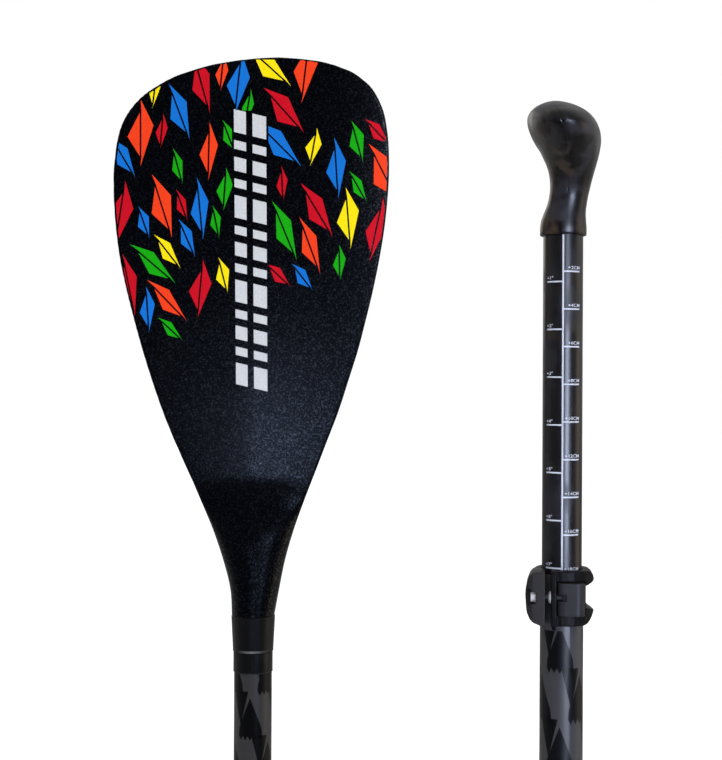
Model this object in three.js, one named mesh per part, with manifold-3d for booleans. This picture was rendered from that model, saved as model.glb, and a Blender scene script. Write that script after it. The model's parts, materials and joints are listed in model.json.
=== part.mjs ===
// Adjustable paddle taken apart into its two sections, which stand side by side:
// the blade section with its blade up, and the handle section with its grip up,
// to the right of it, nearer the viewer and turned a little to face the same viewer.
// Millimetres. +Z runs up both shafts, the decorated blade face looks towards -Y, and
// the origin is the centre of the blade section's flat foot.
import * as THREE from 'three';
import { mergeVertices } from 'three/addons/utils/BufferGeometryUtils.js';
import Module from 'manifold-3d';

const wasm = await Module();
wasm.setup();

// Tube stock and fits
const shaftRadius = 11.55;
const shaftWall = 0.7;
const extensionWall = 1.1;
const slideFit = 0.2;
const glueLine = 0.12;
const restGap = 0.3;
const cutOverrun = 2;
const tubeSides = 32;
const smallSides = 16;
const boreRadius = shaftRadius - shaftWall;
const extensionRadius = boreRadius - slideFit;
const extensionBore = extensionRadius - extensionWall;
const shaftSeat = shaftRadius + glueLine;

// Standing places of the two sections
const sectionSpacing = 174;
const sectionAdvance = 100;
const handleTurn = THREE.MathUtils.degToRad(8.64);

// Blade section heights
const bladeSectionLength = 789;
const bladeLength = 333;
const sleeveLength = 22;
const bandLength = 12.6;
const spigotLength = 75;
const spigotGrip = 60;
const bladeFoot = bladeSectionLength - bladeLength;
const sleeveFoot = bladeFoot - sleeveLength;
const bandFoot = sleeveFoot - bandLength;

// Handle section heights
const clampTop = 499.6;
const clampHeight = 28.8;
const shownExtension = 178.4;
const gripHeight = 71.5;
const gripFoot = clampTop + shownExtension;
const clampCentre = clampTop - clampHeight / 2;

// Finishes
const finishes = {
  blade: { color: 0x0d0f14, roughness: 0.42, metalness: 0 },
  sleeve: { color: 0x111215, roughness: 0.5, metalness: 0 },
  shaft: { color: 0x1b1c20, roughness: 0.35, metalness: 0 },
  tube: { color: 0x17181c, roughness: 0.3, metalness: 0 },
  nylon: { color: 0x202226, roughness: 0.55, metalness: 0 },
  lever: { color: 0x2b2d31, roughness: 0.5, metalness: 0 },
  grip: { color: 0x191a1f, roughness: 0.28, metalness: 0 },
  steel: { color: 0xb9bcc0, roughness: 0.3, metalness: 1 },
  foam: { color: 0xd8d6cc, roughness: 0.9, metalness: 0 },
  rubber: { color: 0x0b0b0c, roughness: 0.8, metalness: 0 },
};

const paddle = new THREE.Group();
const bladeSection = new THREE.Group();
const handleSection = new THREE.Group();
handleSection.position.set(sectionSpacing, -sectionAdvance, 0);
handleSection.rotation.z = -handleTurn;
paddle.add(bladeSection, handleSection);

function piece(section, name, geometry, finish) {
  const mesh = new THREE.Mesh(geometry, new THREE.MeshStandardMaterial(finishes[finish]));
  mesh.name = name;
  section.add(mesh);
}

// Solid turned about +Z from a profile of [radius, height], counterclockwise
function turned(profile, sides = tubeSides) {
  const points = profile.map(([radius, height]) => new THREE.Vector2(radius, height));
  return new THREE.LatheGeometry([...points, points[0]], sides).rotateX(Math.PI / 2);
}

function tube(outer, inner, bottom, top) {
  return turned([[inner, bottom], [outer, bottom], [outer, top], [inner, top]]);
}

function rod(radius, bottom, top, sides = tubeSides) {
  return turned([[0, bottom], [radius, bottom], [radius, top], [0, top]], sides);
}

function block(x, y, z) {
  const sizes = [x, y, z].map(([low, high]) => high - low);
  const middle = [x, y, z].map(([low, high]) => (low + high) / 2);
  return new THREE.BoxGeometry(...sizes).translate(...middle);
}

// Outline of [x, y] points raised from one height to another
function raised(outline, bottom, top) {
  const shape = new THREE.Shape(outline.map(([x, y]) => new THREE.Vector2(x, y)));
  const options = { depth: top - bottom, bevelEnabled: false };
  return new THREE.ExtrudeGeometry(shape, options).translate(0, 0, bottom);
}

// Closed skin over a stack of rings, each counterclockwise seen from above
function lofted(rings) {
  const count = rings[0].length;
  const points = rings.flat();
  const faces = [];
  for (let level = 0; level < rings.length - 1; level += 1) {
    for (let i = 0; i < count; i += 1) {
      const next = (i + 1) % count;
      const [low, high] = [level * count, (level + 1) * count];
      faces.push(low + i, low + next, high + next, low + i, high + next, high + i);
    }
  }
  const last = (rings.length - 1) * count;
  const [foot, crown] = [points.length, points.length + 1];
  for (const ring of [rings[0], rings[rings.length - 1]]) {
    const sum = ring.reduce((total, point) => total.map((value, axis) => value + point[axis]));
    points.push(sum.map((value) => value / count));
  }
  for (let i = 0; i < count; i += 1) {
    const next = (i + 1) % count;
    faces.push(foot, next, i, crown, last + i, last + next);
  }
  const geometry = new THREE.BufferGeometry();
  geometry.setAttribute('position', new THREE.Float32BufferAttribute(points.flat(), 3));
  geometry.setIndex(faces);
  geometry.computeVertexNormals();
  return geometry;
}

// Joins and cuts
function solid(geometry) {
  const bare = geometry.clone();
  bare.deleteAttribute('normal');
  bare.deleteAttribute('uv');
  const merged = mergeVertices(bare);
  return new wasm.Manifold(new wasm.Mesh({
    numProp: 3,
    vertProperties: new Float32Array(merged.attributes.position.array),
    triVerts: new Uint32Array(merged.index.array),
  }));
}

function surface(body) {
  const mesh = body.getMesh();
  const geometry = new THREE.BufferGeometry();
  geometry.setAttribute('position', new THREE.BufferAttribute(mesh.vertProperties, 3));
  geometry.setIndex(new THREE.BufferAttribute(mesh.triVerts, 1));
  geometry.computeVertexNormals();
  return geometry;
}

function cut(geometry, ...tools) {
  return surface(tools.reduce((body, tool) => body.subtract(solid(tool)), solid(geometry)));
}

const mix = (from, to, share) => from + (to - from) * share;
const clamped = (value) => Math.min(1, Math.max(0, value));
const eased = (value) => THREE.MathUtils.smoothstep(value, 0, 1);

// Blade: an outline by height, a round hollow neck that fades into two nearly flat
// halves with a low ridge between them, a forward rake and a slight camber
const bladeHalfWidth = 82.5;
const bladeThickness = 4.6;
const bladeRim = 2.6;
const neckRadius = 13;
const neckRim = 1.6;
const neckBoreDepth = 40;
const neckCap = 5;
const spineLength = 40;
const bladeRake = THREE.MathUtils.degToRad(7.5);
const rakeEase = 42;
const bladeCamber = 4;
const camberPower = 1.5;
const bladePointsAcross = 10;
const roundPowers = [2, 0.5];
const ridgePowers = [1.3, 1];
const spineStart = neckBoreDepth + neckCap;

// Height share of the blade length, then left and right edge shares of the half width
const bladeOutlineShares = [
  [0, -0.158, 0.158], [0.045, -0.169, 0.191], [0.1, -0.224, 0.235], [0.156, -0.302, 0.299],
  [0.211, -0.395, 0.377], [0.266, -0.491, 0.462], [0.321, -0.587, 0.546],
  [0.376, -0.673, 0.63], [0.432, -0.748, 0.702], [0.485, -0.812, 0.769], [0.54, -0.871, 0.826],
  [0.593, -0.922, 0.877], [0.647, -0.965, 0.921], [0.7, -0.991, 0.956], [0.753, -1.003, 0.979],
  [0.805, -1, 0.99], [0.857, -0.97, 0.984], [0.883, -0.939, 0.971], [0.909, -0.879, 0.949],
  [0.935, -0.778, 0.903], [0.953, -0.666, 0.853], [0.967, -0.554, 0.786],
  [0.977, -0.434, 0.724], [0.985, -0.324, 0.642], [0.991, -0.201, 0.564],
  [0.996, -0.051, 0.451], [1, 0.14, 0.235],
];

function rakeAt(height) {
  const run = Math.max(0, height - spineStart);
  const slope = Math.tan(bladeRake);
  return run < rakeEase ? slope * run * run / (2 * rakeEase) : slope * (run - rakeEase / 2);
}

function bladeRing([heightShare, leftShare, rightShare]) {
  const height = heightShare * bladeLength;
  const [left, right] = [leftShare * bladeHalfWidth, rightShare * bladeHalfWidth];
  const [centre, half] = [(left + right) / 2, (right - left) / 2];
  const fade = eased(clamped((height - spineStart) / spineLength));
  const rim = mix(neckRim, bladeRim, fade) / 2;
  const crest = mix(neckRadius, bladeThickness / 2, fade);
  const [sidePower, crestPower] = roundPowers.map((power, i) => mix(power, ridgePowers[i], fade));
  const front = [];
  const back = [];
  for (let i = 0; i <= bladePointsAcross; i += 1) {
    const across = -Math.cos(Math.PI * i / bladePointsAcross);
    const x = centre + half * across;
    const offCrest = clamped(Math.abs(across));
    const rise = rim + (crest - rim) * (1 - offCrest ** sidePower) ** crestPower;
    const camber = bladeCamber * fade * Math.abs(x / bladeHalfWidth) ** camberPower;
    const middle = camber - rakeAt(height);
    front.push([x, middle - rise, bladeFoot + height]);
    back.unshift([x, middle + rise, bladeFoot + height]);
  }
  return [...front, ...back];
}

const neckBore = rod(shaftSeat, bladeFoot - cutOverrun, bladeFoot + neckBoreDepth);
piece(bladeSection, 'blade', cut(lofted(bladeOutlineShares.map(bladeRing)), neckBore), 'blade');

// Sleeve and band that finish the joint between neck and shaft
const sleeveStep = 0.4;
const sleeveTopRadius = neckRadius + sleeveStep;
const sleeveFootRadius = 12.35;
const bandRadius = 12.05;
const sleeveEdge = 0.5;
piece(bladeSection, 'neck_sleeve', turned([
  [shaftSeat, sleeveFoot], [sleeveFootRadius, sleeveFoot],
  [sleeveTopRadius, bladeFoot - restGap - sleeveEdge],
  [sleeveTopRadius - sleeveEdge, bladeFoot - restGap], [shaftSeat, bladeFoot - restGap],
]), 'sleeve');
piece(bladeSection, 'neck_band',
  tube(bandRadius, shaftSeat, bandFoot, sleeveFoot - restGap), 'sleeve');

// Shaft of the blade section, its seal and its float plug
const sealHeight = 2;
const shaftTop = bladeFoot + neckBoreDepth - restGap;
const neckPlugLength = 55;
const shaftFoot = spigotLength + sealHeight + restGap;
piece(bladeSection, 'lower_shaft', tube(shaftRadius, boreRadius, shaftFoot, shaftTop), 'shaft');
piece(bladeSection, 'shaft_seal_ring',
  tube(shaftRadius, extensionRadius + glueLine, spigotLength, spigotLength + sealHeight), 'rubber');
piece(bladeSection, 'neck_float_plug',
  rod(boreRadius - glueLine, shaftTop - neckPlugLength, shaftTop - restGap), 'foam');

// Spigot with its foot plug, bulkhead and snap catch
const footThickness = 3;
const footStub = 8;
const footChamfer = 1;
const bulkheadLength = 14;
const spigotTop = spigotLength + spigotGrip;
const buttonHeight = 40;
const buttonRadius = 3.3;
const buttonClearance = 0.5;
const buttonStand = 0.9;
const buttonDome = 0.8;
const flangeRadius = 4.1;
const flangeThickness = 0.8;
const springThickness = 0.7;
const springWidth = 7;
const springLegBelow = 8;
const springLegAbove = 34;
const flangeOuter = Math.sqrt(extensionBore ** 2 - flangeRadius ** 2) - slideFit;
const flangeInner = flangeOuter - flangeThickness;
const leafOuter = flangeInner - restGap;
const leafInner = leafOuter - springThickness;
const springWall = Math.sqrt(extensionBore ** 2 - (springWidth / 2) ** 2) - restGap;
const springBend = buttonHeight + springLegAbove;

const buttonHole = (height) => rod(
  buttonRadius + buttonClearance, 0, shaftRadius + cutOverrun, smallSides,
).rotateX(Math.PI / 2).translate(0, 0, height);
const spigot = tube(extensionRadius, extensionBore, footThickness + restGap, spigotTop);
piece(bladeSection, 'ferrule_spigot', cut(spigot, buttonHole(buttonHeight)), 'tube');
piece(bladeSection, 'spigot_plug', turned([
  [0, 0], [extensionRadius - footChamfer, 0], [extensionRadius, footChamfer],
  [extensionRadius, footThickness], [extensionBore - glueLine, footThickness],
  [extensionBore - glueLine, footThickness + footStub], [0, footThickness + footStub],
]), 'nylon');
piece(bladeSection, 'spigot_bulkhead',
  rod(extensionBore - glueLine, spigotTop - bulkheadLength, spigotTop - restGap), 'foam');

function strip(outline) {
  return raised(outline, -springWidth / 2, springWidth / 2)
    .rotateZ(Math.PI / 2).rotateY(Math.PI / 2);
}

// Half circle of points in the spring's own plane, from the front leg to the rear leg
function bendPoints(frontPlace, rearPlace, steps) {
  const radius = (rearPlace - frontPlace) / 2;
  const centre = (rearPlace + frontPlace) / 2;
  return Array.from({ length: steps + 1 }, (_, i) => {
    const angle = Math.PI * (1 - i / steps);
    return [centre + radius * Math.cos(angle), springBend + radius * Math.sin(angle)];
  });
}

const bendSteps = 12;
const legFoot = buttonHeight - springLegBelow;
const outerBend = bendPoints(-leafOuter, springWall, bendSteps);
const innerBend = bendPoints(-leafInner, springWall - springThickness, bendSteps);
piece(bladeSection, 'snap_spring_seat', strip([
  ...outerBend, [springWall, legFoot], [springWall - springThickness, legFoot],
  ...innerBend.reverse(),
]), 'steel');
piece(bladeSection, 'snap_spring_leaf', strip([
  [-leafOuter, legFoot], [-leafInner, legFoot],
  [-leafInner, springBend - restGap], [-leafOuter, springBend - restGap],
]), 'steel');
const buttonTip = shaftRadius + buttonStand;
piece(bladeSection, 'snap_button', turned([
  [0, flangeInner], [flangeRadius, flangeInner], [flangeRadius, flangeOuter],
  [buttonRadius, flangeOuter], [buttonRadius, buttonTip - buttonDome],
  [buttonRadius - buttonDome, buttonTip], [0, buttonTip],
], smallSides).rotateX(Math.PI / 2).translate(0, 0, buttonHeight), 'steel');

// Outer tube of the handle section: relief slot under the clamp, catch hole at the socket
const clampLip = 2.6;
const slotWidth = 2;
const slotPlace = -4.2;
const slotBelowClamp = 3;
const socketRingLength = 14;
const socketRingWall = 0.9;
const upperShaftTop = clampTop - clampLip - restGap;
const clampFoot = clampTop - clampHeight;
const reliefSlot = block([slotPlace - slotWidth / 2, slotPlace + slotWidth / 2],
  [-shaftRadius - cutOverrun, 0], [clampFoot - slotBelowClamp, clampTop]);
const catchHole = buttonHole(spigotLength - buttonHeight);
piece(handleSection, 'upper_shaft',
  cut(tube(shaftRadius, boreRadius, 0, upperShaftTop), reliefSlot, catchHole), 'shaft');
piece(handleSection, 'socket_ring',
  tube(shaftSeat + socketRingWall, shaftSeat, 0, socketRingLength), 'nylon');
const shaftPlugFoot = 95;
const shaftPlugLength = 40;
piece(handleSection, 'shaft_float_plug',
  rod(boreRadius - glueLine, shaftPlugFoot, shaftPlugFoot + shaftPlugLength), 'foam');

// Extension tube and the glide that carries its lower end
const insertedExtension = 130;
const gripOverlap = 8;
const glideFit = 0.1;
const glideLength = 10;
const glideStem = 24;
const glideChamfer = 1;
const tubeFoot = clampTop - insertedExtension;
const tubeTop = gripFoot + gripOverlap;
const glideTop = tubeFoot - restGap;
const glideFoot = glideTop - glideLength;
piece(handleSection, 'extension_tube',
  tube(extensionRadius, extensionBore, tubeFoot, tubeTop), 'tube');
piece(handleSection, 'extension_glide', turned([
  [0, glideFoot], [boreRadius - glideFit - glideChamfer, glideFoot],
  [boreRadius - glideFit, glideFoot + glideChamfer], [boreRadius - glideFit, glideTop],
  [extensionBore - slideFit, glideTop], [extensionBore - slideFit, glideTop + glideStem],
  [0, glideTop + glideStem],
]), 'nylon');

// Grip: a palm knob by height, split along a curved seam over a stemmed core
const gripHalfSpread = 41;
const gripHalfDepth = 20;
const gripWall = 2.4;
const seamGap = 0.3;
const seamShift = 2.2;
const gripPointsAround = 28;
const coreStem = 40;
const throatRadius = 7;
const throatLength = 3;

// Height share of the grip, then seen from the front the left and right edges as shares
// of the half depth, then the share of the half spread
const gripShares = [
  [0, -0.62, 0.62, 0.3], [0.05, -0.622, 0.622, 0.303], [0.11, -0.596, 0.606, 0.295],
  [0.17, -0.522, 0.597, 0.28], [0.23, -0.439, 0.619, 0.268], [0.29, -0.385, 0.654, 0.266],
  [0.35, -0.358, 0.702, 0.29], [0.41, -0.361, 0.753, 0.35], [0.47, -0.39, 0.812, 0.45],
  [0.53, -0.452, 0.872, 0.58], [0.59, -0.546, 0.928, 0.73], [0.65, -0.648, 0.971, 0.86],
  [0.71, -0.78, 0.993, 0.96], [0.77, -0.888, 0.966, 1], [0.83, -0.96, 0.882, 0.94],
  [0.89, -0.965, 0.72, 0.78], [0.935, -0.86, 0.5, 0.6], [0.97, -0.68, 0.24, 0.4],
  [0.99, -0.5, 0.0, 0.24], [1, -0.37, -0.15, 0.1],
];

function gripRing([heightShare, leftShare, rightShare, spreadShare], inset) {
  const z = gripFoot + heightShare * (gripHeight - inset);
  const centre = (leftShare + rightShare) / 2 * gripHalfDepth;
  const depth = (rightShare - leftShare) / 2 * gripHalfDepth - inset;
  const spread = spreadShare * gripHalfSpread - inset;
  return Array.from({ length: gripPointsAround }, (_, i) => {
    const angle = 2 * Math.PI * i / gripPointsAround;
    return [centre + depth * Math.cos(angle), spread * Math.sin(angle), z];
  });
}

// Round ring that leads from the tube's end into the first grip section
function throatRing(radius, z) {
  return Array.from({ length: gripPointsAround }, (_, i) => {
    const angle = 2 * Math.PI * i / gripPointsAround;
    return [radius * Math.cos(angle), radius * Math.sin(angle), z];
  });
}

const tubeSocket = rod(extensionRadius + glueLine, gripFoot - cutOverrun, tubeTop + restGap);
const coreShares = gripShares.filter(([heightShare, leftShare, rightShare]) => (
  heightShare * gripHeight > gripOverlap + throatLength
  && (rightShare - leftShare) / 2 * gripHalfDepth > 2 * gripWall
));
const filling = (inset, radius) => lofted([
  throatRing(radius, tubeTop - restGap),
  ...coreShares.map((shares) => gripRing(shares, inset)),
]);
const hollow = filling(gripWall, throatRadius + restGap);
const outerGrip = cut(lofted(gripShares.map((shares) => gripRing(shares, 0))), tubeSocket, hollow);

// Seam seen from the front: straight up the neck, then leaning left over the crown
const seamLeanShares = [
  [-0.1, 0], [0.5, 0], [0.64, -0.04], [0.78, -0.18], [0.9, -0.36], [1.1, -0.6],
];
function seamSide(direction) {
  const edge = seamLeanShares.map(([heightShare, leanShare]) => [
    seamShift + leanShare * gripHalfDepth + direction * seamGap / 2,
    gripFoot + heightShare * gripHeight,
  ]);
  const far = direction * (gripHalfDepth + cutOverrun);
  const outline = [...edge, [far, edge[edge.length - 1][1]], [far, edge[0][1]]];
  const reach = gripHalfSpread + cutOverrun;
  return raised(outline, -reach, reach).rotateX(Math.PI / 2);
}
const shell = (side) => surface(solid(outerGrip).intersect(solid(side)));
piece(handleSection, 'grip_palm_shell', shell(seamSide(1)), 'grip');
piece(handleSection, 'grip_finger_shell', shell(seamSide(-1)), 'grip');
const stem = rod(extensionBore - glueLine, gripFoot - coreStem, tubeTop);
const core = filling(gripWall + restGap, throatRadius);
piece(handleSection, 'grip_core', surface(solid(core).add(solid(stem))), 'nylon');

// Clamp, in its own group at mid height. Seen from above: a ring round the tube, an ear
// on each side of the split at the front left, and guards above and below the lever.
const clamp = new THREE.Group();
clamp.position.z = clampCentre;
handleSection.add(clamp);
const clampHalf = clampHeight / 2;
const clampWall = 2.9;
const clampWeb = 1.2;
const ringRadius = shaftSeat + clampWall;
const webRadius = shaftSeat + clampWeb;
const lipBore = extensionRadius + restGap;
const earStand = 4.6;
const guardStand = 2.7;
const earReach = ringRadius + earStand;
const guardReach = ringRadius + guardStand;
const splitPlace = -7;
const splitWidth = 3.2;
const rightEar = 2.85;
const leftEarFloor = 4.8;
const rightEarInner = splitPlace + splitWidth / 2;
const rightEarOuter = rightEarInner + rightEar;
const leftEarInner = splitPlace - splitWidth / 2;
const recessFloor = leftEarInner - leftEarFloor;

// Cam lever: an eccentric round the barrel pin, and a short arm with a round nose
const camRadius = 3.7;
const camThrow = 0.4;
const pinRadius = 2.2;
const pinFit = 0.15;
const leverReach = 10.4;
const leverNose = 4.5;
const leverLow = -8.5;
const leverHigh = 8.7;
const leverOpening = THREE.MathUtils.degToRad(70);
const pinX = rightEarOuter + restGap + camRadius + camThrow;
const pinY = -(webRadius + restGap + camRadius);
const frontFace = pinY - camRadius;
const screwHeight = 0.9;
const screwRadius = 1.5;
const screwFit = 0.25;
const headRadius = 2.6;
const headLength = 1.7;
const keyRadius = 1.3;
const keyDepth = 1;
const keySides = 6;
const washerRadius = 3.3;
const washerThickness = 0.7;
const recessRadius = 5;

// Half outline seen from the front, as shares of the clamp's half height (second value)
// and of the ear's or the guard's reach (first value)
const earShares = [
  [-0.55, 1], [-0.7, 0.99], [-0.8, 0.955], [-0.87, 0.87], [-0.945, 0.63], [-0.985, 0.335],
  [-1, 0.1], [-0.985, -0.2], [-0.95, -0.5], [-0.87, -0.735], [-0.76, -0.855],
  [-0.6, -0.94], [-0.45, -1],
];
const lowerGuardShares = [
  [0.68, -1], [0.78, -0.95], [0.86, -0.85], [0.93, -0.7], [0.985, -0.53], [0.97, -0.48],
  [0.88, -0.41],
];
const upperGuardShares = [
  [0.86, 0.5], [0.965, 0.565], [0.995, 0.64], [0.96, 0.79], [0.88, 0.95], [0.8, 1],
];
const notchLowShare = -0.36;
const notchHighShare = 0.45;
const onEar = ([x, z]) => [x * earReach, z * clampHalf];
const onGuard = ([x, z]) => [x * guardReach, z * clampHalf];
const frontOutline = [
  ...earShares.map(onEar), ...lowerGuardShares.map(onGuard),
  [webRadius + restGap, notchLowShare * clampHalf], [webRadius, notchLowShare * clampHalf],
  [webRadius, notchHighShare * clampHalf], ...upperGuardShares.map(onGuard),
].reverse();
const clampFront = frontFace - restGap;
const clampDeep = ringRadius + cutOverrun;
const silhouette = raised(frontOutline, -clampDeep, -clampFront).rotateX(Math.PI / 2);

// Outline seen from above: ring at the back, ear on the left, guards on the right, as
// shares of the ear's or the guard's reach and of the depth of the clamp's front
const earPlanShares = [[-1, 0.27], [-1, 0.73], [-0.94, 0.87], [-0.8, 1]];
const guardPlanShares = [[0.72, 0.81], [0.96, 0.4], [1, 0.135]];
const ringSteps = 20;
const ringStart = THREE.MathUtils.degToRad(10);
const ringEnd = THREE.MathUtils.degToRad(175);
const ringArc = Array.from({ length: ringSteps + 1 }, (_, i) => {
  const angle = mix(ringStart, ringEnd, i / ringSteps);
  return [ringRadius * Math.cos(angle), ringRadius * Math.sin(angle)];
});
const planOutline = [
  ...ringArc, ...earPlanShares.map(([x, y]) => [x * earReach, y * clampFront]),
  [pinX + camRadius, clampFront],
  ...guardPlanShares.map(([x, y]) => [x * guardReach, y * clampFront]),
];
const plan = raised(planOutline, -clampHalf, clampHalf);

const bore = rod(shaftSeat, -clampHalf - cutOverrun, clampHalf - clampLip);
const lip = rod(lipBore, 0, clampHalf + cutOverrun);
const split = block([leftEarInner, rightEarInner], [clampFront - cutOverrun, 0],
  [-clampHalf - cutOverrun, clampHalf + cutOverrun]);
const screwAxis = (geometry) => geometry.rotateY(Math.PI / 2).translate(0, pinY, screwHeight);
const screwHole = screwAxis(rod(screwRadius + screwFit, -earReach, pinX, smallSides));
const recess = screwAxis(rod(recessRadius, -earReach - cutOverrun, recessFloor, smallSides));
const leverTip = pinX + leverReach;
const leverRoom = [leverLow - restGap, leverHigh + restGap];
const inFrontOf = (radius, x, z) => cut(
  block(x, [clampFront - cutOverrun, 0], z), rod(radius, -clampHeight, clampHeight),
);
const pocket = inFrontOf(webRadius, [rightEarOuter, leverTip + restGap], leverRoom);
const besideEar = [rightEarOuter, guardReach + cutOverrun];
const notchLow = notchLowShare * clampHalf;
const notchHigh = notchHighShare * clampHalf;
const fingerGap = inFrontOf(webRadius, [leverTip, guardReach + cutOverrun], [notchLow, notchHigh]);
const overLever = inFrontOf(guardReach, besideEar, [notchHigh, clampHalf + cutOverrun]);
const underLever = inFrontOf(guardReach, besideEar, [-clampHalf - cutOverrun, notchLow]);
const collar = solid(silhouette).intersect(solid(plan));
piece(clamp, 'clamp_collar', cut(
  surface(collar), bore, lip, split, screwHole, recess, pocket, fingerGap, overLever, underLever,
), 'nylon');

// Lever outline seen from above: cam, flat face, nose, end arc, hollow inner side
const arcSteps = 10;
function arc(centreX, centreY, radius, from, to) {
  return Array.from({ length: arcSteps + 1 }, (_, i) => {
    const angle = mix(from, to, i / arcSteps);
    return [centreX + radius * Math.cos(angle), centreY + radius * Math.sin(angle)];
  });
}
const camX = pinX - camThrow;
const noseX = pinX + leverReach - leverNose;
const noseY = frontFace + leverNose;
const noseEnd = Math.asin((noseY - pinY) / leverReach);
const innerRadius = webRadius + restGap;
const pinDistance = Math.hypot(pinX, pinY);
const pinBearing = Math.atan2(pinY, pinX);
const spread = Math.acos(
  (pinDistance ** 2 + innerRadius ** 2 - leverReach ** 2) / (2 * pinDistance * innerRadius),
);
const innerEnd = pinBearing + spread;
const tipPoint = [innerRadius * Math.cos(innerEnd), innerRadius * Math.sin(innerEnd)];
const tipBack = Math.atan2(tipPoint[1] - pinY, tipPoint[0] - pinX);
const innerStart = Math.atan2(pinY, camX);
const leverOutline = [
  ...arc(camX, pinY, camRadius, Math.PI / 2 - camThrow / camRadius, Math.PI * 3 / 2),
  ...arc(noseX, noseY, leverNose, -Math.PI / 2, 0),
  ...arc(pinX, pinY, leverReach, noseEnd, tipBack).slice(1),
  ...arc(0, 0, innerRadius, innerEnd, innerStart).slice(1, -1),
];
const leverShape = raised(leverOutline, leverLow, leverHigh);
const pinHole = rod(pinRadius + pinFit, leverLow - cutOverrun, leverHigh + cutOverrun, smallSides)
  .translate(pinX, pinY, 0);

// Slot that the screw passes through while the lever turns round it
const slotHalf = screwRadius + screwFit;
const slotTurn = Math.PI + leverOpening;
const slotSide = [slotHalf * Math.sin(leverOpening), -slotHalf * Math.cos(leverOpening)];
const slotShape = raised([
  [pinX, pinY + slotHalf], [pinX - leverReach, pinY + slotHalf],
  ...arc(pinX, pinY, leverReach, Math.PI, slotTurn),
  [pinX + leverReach * Math.cos(slotTurn) + slotSide[0],
    pinY + leverReach * Math.sin(slotTurn) + slotSide[1]],
  [pinX + slotSide[0], pinY + slotSide[1]],
], screwHeight - slotHalf, screwHeight + slotHalf);
piece(clamp, 'clamp_lever', cut(leverShape, pinHole, slotShape), 'lever');

const pinTop = leverHigh - restGap;
const pinFoot = leverLow + restGap;
const screwEnd = pinX + pinRadius / 2;
const pinThread = screwAxis(
  rod(screwRadius + screwFit / 2, pinX - 2 * pinRadius, pinX + 2 * pinRadius, smallSides));
piece(clamp, 'lever_pin',
  cut(rod(pinRadius, pinFoot, pinTop, smallSides).translate(pinX, pinY, 0), pinThread), 'steel');
const washerFace = recessFloor - restGap / 2 - washerThickness;
const headFace = washerFace - restGap / 2 - headLength;
const washerSeat = recessFloor - restGap / 2;
piece(clamp, 'screw_washer',
  screwAxis(turned([
    [screwRadius + screwFit, washerFace], [washerRadius, washerFace],
    [washerRadius, washerSeat], [screwRadius + screwFit, washerSeat],
  ], smallSides)), 'steel');
const keyRecess = screwAxis(rod(keyRadius, headFace - cutOverrun, headFace + keyDepth, keySides));
piece(clamp, 'clamp_screw', cut(screwAxis(turned([
  [0, headFace], [headRadius, headFace], [headRadius, headFace + headLength],
  [screwRadius, headFace + headLength], [screwRadius, screwEnd], [0, screwEnd],
], smallSides)), keyRecess), 'steel');
const cupWide = rightEarInner - restGap / 2;
const cupNarrow = cupWide - washerThickness;
const cupEdge = cupNarrow - washerThickness;
piece(clamp, 'cup_washer', screwAxis(turned([
  [screwRadius + screwFit, cupEdge], [screwRadius + washerThickness, cupEdge],
  [washerRadius, cupNarrow], [washerRadius, cupWide], [screwRadius + screwFit, cupWide],
], smallSides)), 'steel');

export default paddle;
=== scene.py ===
import json
import math
import random

import bmesh
import bpy
import numpy as np
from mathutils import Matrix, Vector, geometry


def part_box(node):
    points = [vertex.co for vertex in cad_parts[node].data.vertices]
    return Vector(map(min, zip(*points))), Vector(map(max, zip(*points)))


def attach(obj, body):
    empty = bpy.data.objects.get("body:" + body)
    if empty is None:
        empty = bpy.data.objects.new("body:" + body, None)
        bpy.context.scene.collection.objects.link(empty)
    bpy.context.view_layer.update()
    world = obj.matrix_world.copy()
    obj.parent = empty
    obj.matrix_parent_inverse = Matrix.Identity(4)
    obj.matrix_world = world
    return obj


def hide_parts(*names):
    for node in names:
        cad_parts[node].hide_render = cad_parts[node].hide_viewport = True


# A take-apart paddle whose blade section and handle section stand side by side. Lengths are in
# millimetres, but for those of the materials, the camera and the stage, which are in metres.

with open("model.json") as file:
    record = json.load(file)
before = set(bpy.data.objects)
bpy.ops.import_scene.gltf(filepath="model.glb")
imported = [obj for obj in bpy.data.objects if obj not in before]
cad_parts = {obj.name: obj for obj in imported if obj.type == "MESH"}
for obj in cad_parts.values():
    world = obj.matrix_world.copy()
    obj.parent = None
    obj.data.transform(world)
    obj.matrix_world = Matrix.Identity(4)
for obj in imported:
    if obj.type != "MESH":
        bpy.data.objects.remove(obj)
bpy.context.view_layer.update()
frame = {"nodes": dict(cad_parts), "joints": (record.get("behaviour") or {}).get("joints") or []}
nodes = frame["nodes"]

MM = 0.001


# Places taken from the frame

def box_mm(name):
    low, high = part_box(name)
    return low / MM, high / MM


def centre_of(name):
    low, high = box_mm(name)
    return (low + high) / 2


def radii(name):
    """Smallest and largest distance of a node's points from its own upright axis."""
    centre = centre_of(name)
    spans = [
        math.hypot(vertex.co.x / MM - centre.x, vertex.co.y / MM - centre.y)
        for vertex in nodes[name].data.vertices
    ]
    return min(spans), max(spans)


screw_axis = next(joint["axis"] for joint in frame["joints"] if joint["name"] == "screw_turn")
handle_turn = math.atan2(screw_axis[1], screw_axis[0])
handle_axis = centre_of("extension_tube")
blade_axis = centre_of("lower_shaft")


def at_blade(x, y, z):
    return Vector((blade_axis.x + x, blade_axis.y + y, z)) * MM


def at_handle(x, y, z):
    cosine, sine = math.cos(handle_turn), math.sin(handle_turn)
    turned_x, turned_y = x * cosine - y * sine, x * sine + y * cosine
    return Vector((handle_axis.x + turned_x, handle_axis.y + turned_y, z)) * MM


def around_axis(radius, arc, z):
    """Point on an upright cylinder, by arc length from its front line."""
    angle = arc / radius
    return radius * math.sin(angle), -radius * math.cos(angle), z


# Numbers

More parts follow.
